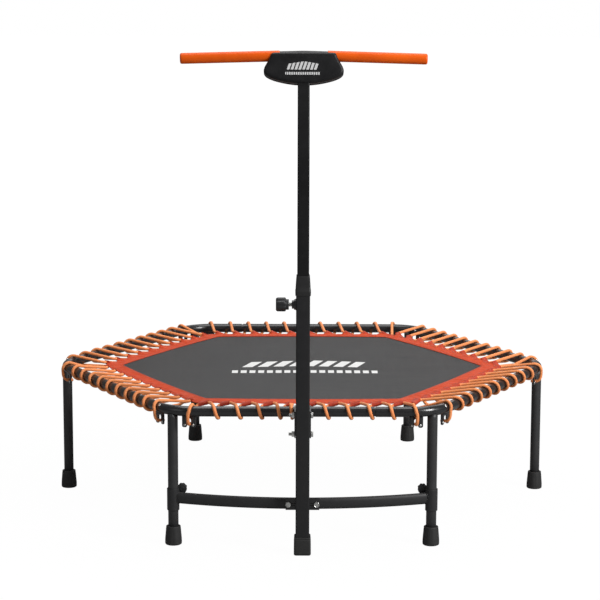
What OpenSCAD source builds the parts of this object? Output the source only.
// Six-sided fitness trampoline with a height-adjustable T-bar handle.
// Origin: floor level, at the middle of the overall outline. +Z is up, -Y is the handle side
// (the front), and -X is left as seen from there.
// The modules are drawn about the centre of the six-sided frame and moved by centred().
// Cutting shapes run past the surfaces they open.

/* [Frame] */
// Overall width across the frame's corners
frame_w = 1280; // [1260:5:1320]
// Height of the frame tube's centre line above the floor
rail_z = 333.7; // [325:0.1:345]
// Outside diameter of the frame and leg tubes
tube_d = 25; // [24.6:0.1:25.4]
// Wall thickness of the frame and leg tubes
tube_wall = 1.5; // [1.3:0.1:1.6]
// Centre-line radius of the bend at each corner
bend_r = 107; // [104:1:110]
// Distance of the tube joint from the middle of each side
seam_along = 176; // [172:1:180]

/* [Jumping mat] */
// Half width across flats of the visible woven mat
mesh_half = 423; // [415:1:430]
// Half width across flats of the border band
border_half = 468; // [467:1:470]
// Thickness of the woven mat
mat_t = 2.5; // [2:0.1:3]
// Thickness of the sewn border band
border_t = 1.5; // [1.3:0.1:1.7]

/* [Bungee cords] */
// Diameter of the elastic cord
cord_d = 7.6; // [7:0.1:8]
// Distance between neighbouring webbing loops
pitch = 53.2; // [53:0.1:53.4]

/* [Feet] */
// Height of the rubber leg feet
foot_h = 46; // [40:1:52]
// Largest diameter of the rubber leg feet
foot_d = 41; // [38:0.5:43]

/* [Handle post] */
// Distance of the post's axis from the centre of the frame
post_y = 624; // [623:0.5:625]
// Width of the lower square tube
lower_w = 33; // [32.8:0.1:33]
// Width of the sliding square tube
upper_w = 28; // [27.8:0.1:28]
// Height where the sliding tube starts to lean
kink_z = 963; // [950:1:975]
// Lean of the sliding tube above its bend
lean = 15; // [12:0.5:17]
// Height of the handlebar's centre
bar_z = 1186; // [1180:1:1190]
// Distance between the height-setting holes
hole_pitch = 50; // [50]

/* [Handlebar] */
// Overall width over both grips
bar_w = 578; // [560:2:600]
// Droop of each arm of the bar
droop = 1.6; // [1:0.1:2]
// Outside diameter of the foam grips
grip_d = 25.5; // [25:0.1:27]

/* [Hidden] */
$fn = 72;

black = [0.07, 0.07, 0.075];
tube_grey = [0.16, 0.16, 0.165];
rubber = [0.12, 0.12, 0.12];
zinc = [0.78, 0.78, 0.76];
orange = [0.93, 0.42, 0.17];
border_red = [0.84, 0.36, 0.24];
mesh_grey = [0.34, 0.34, 0.35];

fit = 0.1;                                  // added to a bore around the part in it

// frame layout, in plan
apex_r = (frame_w - tube_d) / 2;            // bend apex and leg axes
centre_r = apex_r - bend_r;                 // bend centres
corner_r = centre_r + bend_r / cos(30);     // where the straight centre lines meet
rail_out = corner_r * cos(30);              // centre line of a side, from the middle
half_straight = (rail_out - bend_r) * tan(30);
bore_d = tube_d - 2 * tube_wall;
leg_x = apex_r * cos(60);                   // the two front legs
leg_y = apex_r * sin(60);
leg_low = 4.2;                              // lower end of the legs and the post

// M8 bolts of the brace and the post
bolt_d = 8;
bolt_hole = 8.4;
bolt_af = 13;                               // across flats
head_h = 5.3;
nut_h = 6.5;
seat_gap = 0.05;                            // under a bolt head or nut

// ---- shared shapes ----

// a square with rounded corners, centred
module rounded_square(width, radius) {
  straight = width - 2 * radius;
  square([width, straight], center = true);
  square([straight, width], center = true);
  for (x = [-1, 1], y = [-1, 1])
    translate([x * straight / 2, y * straight / 2]) circle(r = radius);
}
// an upright slot-shaped outline
module oval(width, height) {
  square([width, height - width], center = true);
  for (s = [-1, 1]) translate([0, s * (height - width) / 2]) circle(d = width);
}
// origin at the bend centre of corner i, drawn as the front left corner
module at_corner(i) {
  rotate([0, 0, 60 * i])
    translate([centre_r * cos(240), centre_r * sin(240), rail_z]) children();
}
module at_leg(i) { rotate([0, 0, 240 + 60 * i]) translate([apex_r, 0, 0]) children(); }
module at_post() { translate([0, -post_y, 0]) children(); }
module hex_plate(half_width, height) { cylinder(r = half_width / cos(30), h = height, $fn = 6); }
// hexagon bolt head or nut blank, axis +Z
module hex_head(height) { cylinder(d = bolt_af / cos(30), h = height, $fn = 6); }
module nut() {
  difference() {
    hex_head(nut_h);
    translate([0, 0, -1]) cylinder(d = bolt_d + fit, h = 10);
  }
}

// ---- frame ----

long_arm = half_straight + seam_along;      // from the bend to the far seam
short_arm = half_straight - seam_along;     // from the bend to the near seam
butt = 0.2;                                 // open gap at each tube joint
spigot_d = bore_d - fit;                    // plugs into the next section
spigot_l = 45;
stub_d = bore_d - 0.2;                      // plugs down into the leg
stub_l = 72;
screw_d = 4;
// corner screws: [angle on the bend from its middle, elevation on the tube, inner face?]
corner_screw = [[-18, 45, false], [18, 45, false], [18, 45, false],
                [-18, 8, true], [18, 8, true], [-18, 45, false]];

// cord anchors
fork_along = 273.5;                         // from the middle of a side
fork_a = asin((fork_along - half_straight) / bend_r);
fork_t = 3;
prong_r = 5.7;
fork_slot = 9.8;
slot_top = -22;
rivet_side = 10.3;                          // each side of the fork's middle
rivet_z = -33.7;
rivet_d = 4;

// tube run of one section, about the centre of its bend; the bend is a hair
// fuller than the straight arms, which run into its ends
module run(dia, long_l, short_l) {
  lap = 2;
  translate([-lap, -bend_r, 0]) rotate([0, 90, 0]) cylinder(d = dia, h = long_l + lap);
  rotate([0, 0, 210]) rotate_extrude(angle = 60) translate([bend_r, 0]) circle(d = dia + 0.2);
  rotate([0, 0, -60]) translate([lap, -bend_r, 0]) rotate([0, -90, 0])
    cylinder(d = dia, h = short_l + lap);
}
// two-prong cord anchor under the tube
module fork() {
  half_w = rivet_side + prong_r;
  root_z = -8;                              // inside the tube
  rotate([90, 0, 90]) translate([0, 0, -fork_t / 2]) linear_extrude(fork_t) difference() {
    union() {
      translate([-half_w, rivet_z]) square([2 * half_w, root_z - rivet_z]);
      for (s = [-1, 1]) translate([s * rivet_side, rivet_z]) circle(r = prong_r);
    }
    translate([-fork_slot / 2, -50]) square([fork_slot, 50 + slot_top]);
    translate([0, slot_top]) circle(d = fork_slot);
    for (s = [-1, 1]) translate([s * rivet_side, rivet_z]) circle(d = rivet_d + fit);
  }
}
// both anchors of a corner; X points out of the bend
module at_forks() {
  for (a = [270 - fork_a, 210 + fork_a]) rotate([0, 0, a]) translate([bend_r, 0, 0]) children();
}
// axis of corner screw i, +Z out of the tube
module at_screw(i) {
  screw = corner_screw[i];
  rotate([0, 0, 240 + screw[0]]) translate([bend_r, 0, 0])
    rotate([0, screw[2] ? -180 + screw[1] : -screw[1], 0]) rotate([0, 90, 0]) children();
}
module frame_section(i) {
  color(black) at_corner(i) difference() {
    union() {
      run(tube_d, long_arm - butt, short_arm);
      translate([long_arm - butt - 3, -bend_r, 0]) rotate([0, 90, 0])
        cylinder(d = spigot_d, h = spigot_l + 3);
      rotate([0, 0, 240]) translate([bend_r, 0, -stub_l]) cylinder(d = stub_d, h = stub_l);
      at_forks() fork();
    }
    run(bore_d, long_arm - 4, short_arm + 1);
    translate([long_arm - 5, -bend_r, 0]) rotate([0, 90, 0])
      cylinder(d = spigot_d - 2 * tube_wall, h = spigot_l + 10);
    rotate([0, 0, 240]) translate([bend_r, 0, -stub_l - 1])
      cylinder(d = stub_d - 2 * tube_wall, h = stub_l - 14);
    at_screw(i) cylinder(d = screw_d + fit, h = 20);
  }
}
module frame_screws() {
  tip = 6;                                  // from the tube's centre line
  color(zinc) for (i = [0:5]) at_corner(i) at_screw(i) {
    translate([0, 0, tip]) cylinder(d = screw_d, h = tube_d / 2 - tip + 0.4);
    translate([0, 0, tube_d / 2 + 0.35]) cylinder(d1 = 7.4, d2 = 4.6, h = 2);
  }
}
// shank, outer head and inner head
module anchor_rivets() {
  color(zinc) for (i = [0:5]) at_corner(i) at_forks()
    for (s = [-1, 1]) translate([0, s * rivet_side, rivet_z]) rotate([0, 90, 0]) {
      translate([0, 0, -3]) cylinder(d = rivet_d, h = 6);
      translate([0, 0, fork_t / 2 + 0.02]) cylinder(d1 = 6.6, d2 = rivet_d, h = 1.9);
      translate([0, 0, -3]) cylinder(d = 5.6, h = 1.45);
    }
}
// upright tube, its top hollowed to saddle the bend
module leg(i) {
  leg_top = rail_z - 6.7;
  color(tube_grey) at_leg(i) difference() {
    translate([0, 0, leg_low]) cylinder(d = tube_d, h = leg_top - leg_low);
    translate([0, 0, leg_low - 1]) cylinder(d = bore_d, h = leg_top);
    translate([-bend_r, 0, rail_z]) rotate([0, 0, -30]) rotate_extrude(angle = 60)
      translate([bend_r, 0]) circle(d = tube_d + 0.5);
  }
}
module foot(i) {
  outer = foot_d / 2;
  inner = tube_d / 2 + fit / 2;
  floor_z = leg_low - 0.2;
  // [radius, height]
  color(rubber) at_leg(i) rotate_extrude() polygon([
    [0, 0], [outer - 2.4, 0], [outer - 0.7, 1], [outer, 3.2], [outer - 0.1, 14],
    [outer - 2.1, foot_h - 9], [outer - 2.8, foot_h - 3.5], [outer - 3.2, foot_h - 0.8],
    [outer - 3.9, foot_h], [inner, foot_h], [inner, floor_z], [0, floor_z]]);
}

// ---- bungee cords ----

// Path points are [along the side, out from the middle, up from the tube's centre].
mat_top = 0.3;                              // top of the woven mat, up from the tube's centre
first_end = -232.3;                         // far end of the first webbing loop
loop_l = 23;
loop_out = border_half + 0.5;               // the loops' axis, out from the middle
loop_z = mat_top - cord_d / 2 - 0.45;       // the loops' axis, up from the tube's centre
loop_bore = cord_d / 2 + 0.25;
loop_r = loop_bore + 1;
wrap_r = tube_d / 2 + cord_d / 2 + 0.8;     // cord centre line around the tube
wrap_v = wrap_r / cos(22.5);                // corners of that line, 45 degrees apart
// cord around an anchor: [out from the tube's centre line, up from it]
fork_hook = [[-12, -34.3], [5, -34.3], [13.5, -30.6], [wrap_r, -22], [wrap_r + 0.2, 0]];
// cord at a loop's end: [beyond the end, out from the axis, below it (above at the far end)]
loop_lead = [[7.4, 10, 0.8], [5.4, 4.6, 0], [1.2, 0, 0]];

// both ends of loop j along side i; two on the front side are short, clear of the post
function loop(i, j) = let (end = first_end + pitch * (j - 1))
  i == 0 && j == 5 ? [-40, -32.3] : [end - (i == 0 && j == 6 ? 17.5 : loop_l), end];
// hook point beside the cord anchor at the near (-1) or far (1) end of the side
function by_fork(end, hook) = let (radius = bend_r + hook[0])
  [end * (half_straight + radius * sin(fork_a)),
   rail_out - bend_r + radius * cos(fork_a), hook[1]];
// into a loop's near end, through it and out of its far end
function through(ends) = [
  for (p = loop_lead) [ends[0] - p[0], loop_out + p[1], loop_z - p[2]],
  for (k = [2:-1:0]) let (p = loop_lead[k]) [ends[1] + p[0], loop_out + p[1], loop_z + p[2]]];
// point around the tube, angle from the top towards the outside
function around(along, angle) = [along, rail_out + wrap_v * sin(angle), wrap_v * cos(angle)];
// over the outside of the tube, from above to below
function wrap(along, advance) = [for (k = [0:4]) around(along + k * advance / 4, 45 * k)];
function cord_path(i) = concat(
  [for (p = fork_hook) by_fork(-1, p)],
  [around(-268, 45), around(-266, 0)],
  [for (j = [1:9]) each concat(through(loop(i, j)),
    i == 0 && j == 4 ? wrap(-62, 10)
      : i == 0 && j == 5 ? wrap(-28.5, 4) : wrap(loop(i, j)[1] + 16, 15))],
  through(loop(i, 10)),
  [around(267, 0), around(269.5, 45)],
  [for (k = [len(fork_hook) - 1:-1:0]) by_fork(1, fork_hook[k])]);

function unit(v) = v / norm(v);
function tangents(path) = [for (i = [0:len(path) - 1])
  unit((i > 0 ? unit(path[i] - path[i - 1]) : [0, 0, 0])
     + (i < len(path) - 1 ? unit(path[i + 1] - path[i]) : [0, 0, 0]))];
// side vectors carried along the path without twist
function carry(dirs, side, i) = i >= len(dirs) ? []
  : let (next = unit(side - (side * dirs[i]) * dirs[i])) concat([next], carry(dirs, next, i + 1));
// tube of the given number of flat sides along a path
module swept(path, radius, sides) {
  dirs = tangents(path);
  across = carry(dirs, [1, 0.13, 0.07], 0);
  points = [for (i = [0:len(path) - 1]) let (other = cross(dirs[i], across[i]))
    for (k = [0:sides - 1]) let (a = 360 * k / sides)
      path[i] + radius * (cos(a) * across[i] + sin(a) * other)];
  last = len(path) - 1;
  faces = concat(
    [[for (k = [0:sides - 1]) k]],
    [for (i = [0:last - 1], k = [0:sides - 1])
      let (a = i * sides + k, b = i * sides + (k + 1) % sides)
      each [[a, a + sides, b + sides], [a, b + sides, b]]],
    [[for (k = [sides - 1:-1:0]) last * sides + k]]);
  polyhedron(points = points, faces = faces, convexity = 10);
}
// one cord per side; the front one steps aside for the post bracket
module cord(i) {
  color(orange) rotate([0, 0, 60 * i]) translate([0, 0, rail_z]) mirror([0, 1, 0])
    swept(cord_path(i), cord_d / 2, 6);
}

// ---- jumping mat ----

// woven mat, its edge tucked under the border band
module jump_mat() {
  color(mesh_grey) translate([0, 0, rail_z + mat_top - mat_t]) hex_plate(border_half - 18, mat_t);
}
// round bars along the axes of the webbing loops
module loop_bars(radius, over) {
  for (i = [0:5], j = [1:10]) let (ends = loop(i, j))
    rotate([0, 0, 60 * i]) translate([ends[0] - over, -loop_out, rail_z + loop_z])
      rotate([0, 90, 0]) cylinder(r = radius, h = ends[1] - ends[0] + 2 * over, $fn = 24);
}
// border band with its webbing loops
module mat_border() {
  color(border_red) difference() {
    union() {
      translate([0, 0, rail_z + mat_top]) hex_plate(border_half, border_t);
      loop_bars(loop_r, 0);
    }
    translate([0, 0, rail_z - 20]) hex_plate(mesh_half, 40);
    loop_bars(loop_bore, 1);
  }
}

// ---- lower cross brace ----

brace_z = 117;
brace_h = 28;
brace_t = 15;
plate_t = 3;
plate_y = -post_y + lower_w / 2;            // front face of the plate, on the post
brace_mid = -plate_y - plate_t - 0.1 - brace_t / 2;   // middle of the arc, ahead of the frame's centre
brace_sag = brace_mid - leg_y;
brace_r = (leg_x * leg_x + brace_sag * brace_sag) / (2 * brace_sag);
brace_bolt_x = 34;
sleeve_d = 30;
ear_x = 21;                                 // clamp hole, from the leg's axis
ear_z = 136;
ear_y = 5.9;                                // front face of the ear, from the leg's axis
ear_t = 4.5;
stud_d = 6;

// both bolt axes of the brace, starting at y and pointing back
module at_brace_bolts(y) {
  for (s = [-1, 1]) translate([s * brace_bolt_x, y, brace_z]) rotate([-90, 0, 0]) children();
}
// front leg on the left (-1) or right (1)
module at_sleeve(side) { translate([side * leg_x, -leg_y, 0]) children(); }
// clamp hole's axis, from a distance behind the ear's front face and pointing back
module at_ear(side, behind) {
  at_sleeve(side) translate([-side * ear_x, ear_y + behind, ear_z]) rotate([-90, 0, 0]) children();
}
// oval tube bowed forward between the front legs
module brace_tube() {
  half_a = asin(leg_x / brace_r);
  color(tube_grey) difference() {
    translate([0, brace_r - brace_mid, brace_z]) rotate([0, 0, 270 - half_a])
      rotate_extrude(angle = 2 * half_a, $fn = 720) translate([brace_r, 0]) difference() {
        oval(brace_t, brace_h);
        oval(brace_t - 3, brace_h - 3);
      }
    for (s = [-1, 1]) at_sleeve(s) translate([0, 0, 60]) cylinder(d = sleeve_d + fit, h = 100);
    at_brace_bolts(-brace_mid - 20) cylinder(d = bolt_hole, h = 40);
  }
}
module brace_sleeve(side) {
  ear_r = 12;
  ear_root = 7;
  color(tube_grey) difference() {
    at_sleeve(side) union() {
      translate([0, 0, 86]) cylinder(d = sleeve_d, h = 54);
      translate([0, ear_y + ear_t, 0]) rotate([90, 0, 0]) linear_extrude(ear_t) {
        translate([-side * ear_x, ear_z]) circle(r = ear_r);
        translate([side > 0 ? -ear_x : ear_root, ear_z - ear_r]) square([ear_x - ear_root, 14]);
      }
    }
    at_sleeve(side) translate([0, 0, 80]) cylinder(d = tube_d + fit, h = 80);
    at_ear(side, -1) cylinder(d = stud_d + fit, h = 10);
  }
}
module clamp_studs() {
  color(zinc) for (s = [-1, 1]) at_ear(s, 1.5) cylinder(d = stud_d, h = 17);
}
// small fluted hand knob behind the clamp ear
module brace_knob(side) {
  hub_h = 2.5;
  color(black) at_ear(side, ear_t + 0.4) difference() {
    union() {
      cylinder(d = 13, h = hub_h);
      translate([0, 0, hub_h]) cylinder(d = 24, h = 10);
    }
    translate([0, 0, -1]) cylinder(d = stud_d + fit, h = 14);
    for (k = [0:7]) rotate(45 * k) translate([13.8, 0, 2]) cylinder(d = 6, h = 12);
  }
}
// flat plate between the post and the brace
module brace_plate() {
  plate_w = 81;
  color(black) difference() {
    translate([-plate_w / 2, plate_y, brace_z - 14]) cube([plate_w, plate_t, 30]);
    at_brace_bolts(-post_y) cylinder(d = bolt_hole, h = 40);
  }
}
module brace_bolts() {
  color(zinc) at_brace_bolts(plate_y) {
    translate([0, 0, -head_h - seat_gap]) hex_head(head_h);
    translate([0, 0, -1]) cylinder(d = bolt_d, h = 31);
  }
}
module brace_nuts() {
  color(zinc) at_brace_bolts(-brace_mid + brace_t / 2 + 1) nut();
}

// ---- handle post ----

lower_top = 652;
post_foot_w = 41;
post_bolt_z = [295, 338.5];
cheek_x = lower_w / 2 + 0.2;                // inner faces of the post bracket
bracket_t = 3;
bolt_seat = cheek_x + bracket_t + seat_gap; // bolt heads and nuts, from the post's axis
lock_z = 606.5;
lock_d = 10;
boss_l = 10;

// post bolt axes along +X, from the post's axis
module at_post_bolts() { for (z = post_bolt_z) translate([0, 0, z]) rotate([0, 90, 0]) children(); }
module post_bolt_holes() { at_post_bolts() translate([0, 0, -30]) cylinder(d = bolt_hole, h = 60); }
// lock axis, from a distance left of the post's axis and pointing left
module at_lock(out) { translate([-out, -post_y, lock_z]) rotate([0, -90, 0]) children(); }

module post_lower() {
  color(black) at_post() difference() {
    translate([0, 0, leg_low]) linear_extrude(lower_top - leg_low) rounded_square(lower_w, 3);
    translate([0, 0, leg_low - 1]) linear_extrude(lower_top) rounded_square(lower_w - 3, 1.5);
    post_bolt_holes();
    translate([-30, 0, lock_z]) rotate([0, 90, 0]) cylinder(d = lock_d + fit, h = 20);
  }
}
// rubber cup, narrowed at the floor and towards its top
module post_foot() {
  end_w = 39;
  low_z = 2;
  high_z = 30;
  top_z = 44;
  slab = 0.1;
  color(rubber) at_post() difference() {
    union() {
      translate([0, 0, low_z]) linear_extrude(high_z - low_z) rounded_square(post_foot_w, 5);
      hull() {
        linear_extrude(slab) rounded_square(end_w, 4, $fn = 32);
        translate([0, 0, low_z]) linear_extrude(slab) rounded_square(post_foot_w, 5, $fn = 32);
      }
      hull() {
        translate([0, 0, high_z - slab]) linear_extrude(slab)
          rounded_square(post_foot_w, 5, $fn = 32);
        translate([0, 0, top_z - slab]) linear_extrude(slab)
          rounded_square(end_w, 4.5, $fn = 32);
      }
    }
    translate([0, 0, leg_low - 0.2]) linear_extrude(60) rounded_square(lower_w + 0.2, 3);
  }
}
// tapered collar from the lower tube to the sliding one
module post_collar() {
  cut_z = 620;
  color(rubber) at_post() difference() {
    hull() {
      translate([0, 0, 629]) linear_extrude(0.2) rounded_square(36, 4, $fn = 32);
      translate([0, 0, 638]) linear_extrude(2) rounded_square(37, 4, $fn = 32);
      translate([0, 0, 675.8]) linear_extrude(0.2) rounded_square(31.6, 3, $fn = 32);
    }
    translate([0, 0, cut_z]) linear_extrude(lower_top - cut_z + 0.2)
      rounded_square(lower_w + 0.2, 3);
    translate([0, 0, 640]) linear_extrude(60) rounded_square(upper_w + 0.4, 2);
  }
}
// channel on the front side of the frame that holds the post
module post_bracket() {
  front = -post_y - 8;
  back = -560;
  low_z = 284;
  round_r = 8;                              // lower corners of the cheeks
  web_z = low_z + round_r;
  web_h = 58;
  color(black) difference() {
    union() {
      for (s = [-1, 1]) translate([s > 0 ? cheek_x : -cheek_x - bracket_t, 0, 0])
        rotate([90, 0, 90]) linear_extrude(bracket_t) union() {
          translate([front, web_z]) square([back - front, web_h]);
          translate([front + round_r, low_z]) square([back - front - 2 * round_r, 20]);
          for (y = [front + round_r, back - round_r]) translate([y, web_z]) circle(r = round_r);
        }
      translate([-17, -post_y + cheek_x, web_z]) cube([34, bracket_t, web_h]);
    }
    translate([-30, -rail_out, rail_z]) rotate([0, 90, 0]) cylinder(d = tube_d + fit, h = 60);
    at_post() post_bolt_holes();
  }
}
module post_bolts() {
  color(zinc) at_post() at_post_bolts() {
    translate([0, 0, bolt_seat]) hex_head(head_h);
    translate([0, 0, -33.5]) cylinder(d = bolt_d, h = 54);
  }
}
module post_nuts() {
  color(zinc) at_post() at_post_bolts() translate([0, 0, -bolt_seat - nut_h]) nut();
}
module lock_boss() {
  color(black) at_lock(lower_w / 2) difference() {
    union() {
      cylinder(d = 25, h = 5);
      cylinder(d = 20, h = boss_l);
    }
    translate([0, 0, -1]) cylinder(d = lock_d + fit, h = 20);
  }
}
module lock_screw() {
  tip_h = 1.2;
  color(zinc) at_lock(upper_w / 2 + 0.4) {
    cylinder(d1 = 8, d2 = lock_d, h = tip_h);
    translate([0, 0, tip_h]) cylinder(d = lock_d, h = 42);
  }
}
// fluted hand knob, standing off the boss
module lock_knob() {
  stand_off = 7;
  knob_d = 33.6;
  color(black) at_lock(lower_w / 2 + boss_l + stand_off) difference() {
    union() {
      cylinder(d = 25, h = 6.6);
      translate([0, 0, 6.5]) cylinder(d = knob_d, h = 21);
      translate([0, 0, 27.5]) cylinder(d1 = knob_d, d2 = 27, h = 3);
    }
    translate([0, 0, -1]) cylinder(d = lock_d + fit, h = 26);
    for (k = [0:7]) rotate(45 * k + 22.5) translate([19.2, 0, 8.5]) cylinder(d = 8, h = 30);
  }
}

// ---- sliding handle ----

upper_low = 507;
upper_bend = 80;                            // radius of the sliding tube's bend
bend_lead = upper_bend * tan(lean / 2);     // from the bend's ends to its corner
lean_l = (bar_z - kink_z) / cos(lean);
bar_y = -post_y + (bar_z - kink_z) * tan(lean);
bar_d = 22;
bar_wall = 1.5;
bar_bend = 300;                             // radius of the short bend between the arms
setback = bar_bend * tan(droop);            // taken off each arm's length for the bend
arm_l = bar_w / 2;

// upright, bend and leaning run of the sliding tube; over > 0 for its bore
module lean_run(width, radius, over) {
  translate([0, 0, upper_low - over]) linear_extrude(kink_z - bend_lead - upper_low + over)
    rounded_square(width, radius);
  translate([0, upper_bend, kink_z - bend_lead]) rotate([0, -90, 0]) rotate([0, 0, -90])
    rotate_extrude(angle = lean) translate([upper_bend, 0]) rounded_square(width, radius);
  translate([0, 0, kink_z]) rotate([-lean, 0, 0]) translate([0, 0, bend_lead - 2])
    linear_extrude(lean_l - bend_lead + (over > 0 ? 3 : -2)) rounded_square(width + 0.1, radius);
}
// sliding tube, with height-setting holes on its left side
module upper_post() {
  color(black) at_post() difference() {
    lean_run(upper_w, 2.5, 0);
    lean_run(upper_w - 3, 1.2, 1);
    for (k = [-1:3]) translate([-30, 0, lock_z + k * hole_pitch]) rotate([0, 90, 0])
      cylinder(d = 11, h = 30);
    translate([-60, bar_y + post_y, bar_z]) rotate([0, 90, 0]) cylinder(d = bar_d + 1.2, h = 120);
  }
}
// plug in the sliding tube's lower end
module inner_glide() {
  color(rubber) at_post() {
    translate([0, 0, upper_low - 8]) linear_extrude(7.95) rounded_square(29.7, 2.5);
    translate([0, 0, upper_low - 1]) linear_extrude(19) rounded_square(upper_w - 3.2, 1.4);
  }
}
module at_bar() { translate([0, bar_y, bar_z]) children(); }
// left (-1) or right (1) arm, +Z along it
module on_arm(side) {
  translate([0, 0, -bar_bend]) rotate([0, side * droop, 0]) translate([0, 0, bar_bend])
    rotate([0, side * 90, 0]) children();
}
module bar_run(dia, over) {
  translate([0, 0, -bar_bend]) rotate([90, 0, 0]) rotate([0, 0, 90 - droop])
    rotate_extrude(angle = 2 * droop) translate([bar_bend, 0]) circle(d = dia);
  for (s = [-1, 1]) on_arm(s) cylinder(d = dia, h = arm_l - 3 - setback + over);
}
module handlebar() {
  color(black) at_bar() difference() {
    bar_run(bar_d, 0);
    bar_run(bar_d - 2 * bar_wall, 1);
  }
}
// foam sleeve with a closed end
module grip(side) {
  start = 56 - setback;
  end = arm_l - setback;
  cap = end - 2.9;
  inner = bar_d / 2 + fit / 2;
  outer = grip_d / 2;
  // [radius, distance along the arm]
  color(orange) at_bar() on_arm(side) rotate_extrude() polygon([
    [inner, start], [outer - 0.8, start], [outer, start + 0.8], [outer, end - 3],
    [outer - 0.9, end - 0.9], [outer - 3, end], [0, end], [0, cap], [inner, cap]]);
}
// half outline of the pad, [half width, up the lean from the bar's centre]
pad_side = [[71, 4], [73.4, 2], [76, -3.1], [82.7, -15.5], [88.8, -25.4], [93, -34],
            [94, -40.1], [93.2, -44.6], [89.4, -48.8], [81, -54], [69.4, -58.8], [50, -63.8],
            [32, -67], [15, -68.8]];
pad_t = 36;
// console pad around the middle of the bar and the top of the post
module handle_pad() {
  color(black) difference() {
    at_bar() rotate([90 - lean, 0, 0]) translate([0, 0, -pad_t / 2])
      linear_extrude(pad_t) polygon(concat(pad_side,
        [for (k = [len(pad_side) - 1:-1:0]) [-pad_side[k][0], pad_side[k][1]]]));
    at_bar() bar_run(bar_d + 0.2, 5);
    for (s = [-1, 1]) at_bar() on_arm(s)
      translate([0, 0, 55 - setback]) cylinder(d = grip_d + 0.3, h = 80);
    translate([0, -post_y, kink_z]) rotate([-lean, 0, 0]) translate([0, 0, 60])
      linear_extrude(lean_l - 60) rounded_square(upper_w + 0.2, 2);
  }
}

// From the frame's centre to the middle of the overall outline, which runs from the post
// foot to the rear cord; 0.4996 is the faceted cord's reach as a share of its diameter.
shift_y = (post_y + post_foot_w / 2 - rail_out - wrap_v - cord_d * 0.4996) / 2;
module centred() { translate([0, shift_y, 0]) children(); }

centred() frame_section(0);  // frame_section_1
centred() frame_section(1);  // frame_section_2
centred() frame_section(2);  // frame_section_3
centred() frame_section(3);  // frame_section_4
centred() frame_section(4);  // frame_section_5
centred() frame_section(5);  // frame_section_6
centred() frame_screws();
centred() leg(0);  // leg_1
centred() leg(1);  // leg_2
centred() leg(2);  // leg_3
centred() leg(3);  // leg_4
centred() leg(4);  // leg_5
centred() leg(5);  // leg_6
centred() foot(0);  // foot_1
centred() foot(1);  // foot_2
centred() foot(2);  // foot_3
centred() foot(3);  // foot_4
centred() foot(4);  // foot_5
centred() foot(5);  // foot_6
centred() anchor_rivets();
centred() cord(0);  // cord_1
centred() cord(1);  // cord_2
centred() cord(2);  // cord_3
centred() cord(3);  // cord_4
centred() cord(4);  // cord_5
centred() cord(5);  // cord_6
centred() jump_mat();
centred() mat_border();
centred() brace_tube();
centred() brace_sleeve(-1);  // brace_sleeve_left
centred() brace_sleeve(1);  // brace_sleeve_right
centred() clamp_studs();
centred() brace_knob(-1);  // brace_knob_left
centred() brace_knob(1);  // brace_knob_right
centred() brace_plate();
centred() brace_bolts();
centred() brace_nuts();
centred() post_lower();
centred() post_foot();
centred() post_collar();
centred() post_bracket();
centred() post_bolts();
centred() post_nuts();
centred() lock_boss();
centred() lock_screw();
centred() lock_knob();
centred() upper_post();
centred() inner_glide();
centred() handlebar();
centred() grip(-1);  // grip_left
centred() grip(1);  // grip_right
centred() handle_pad();
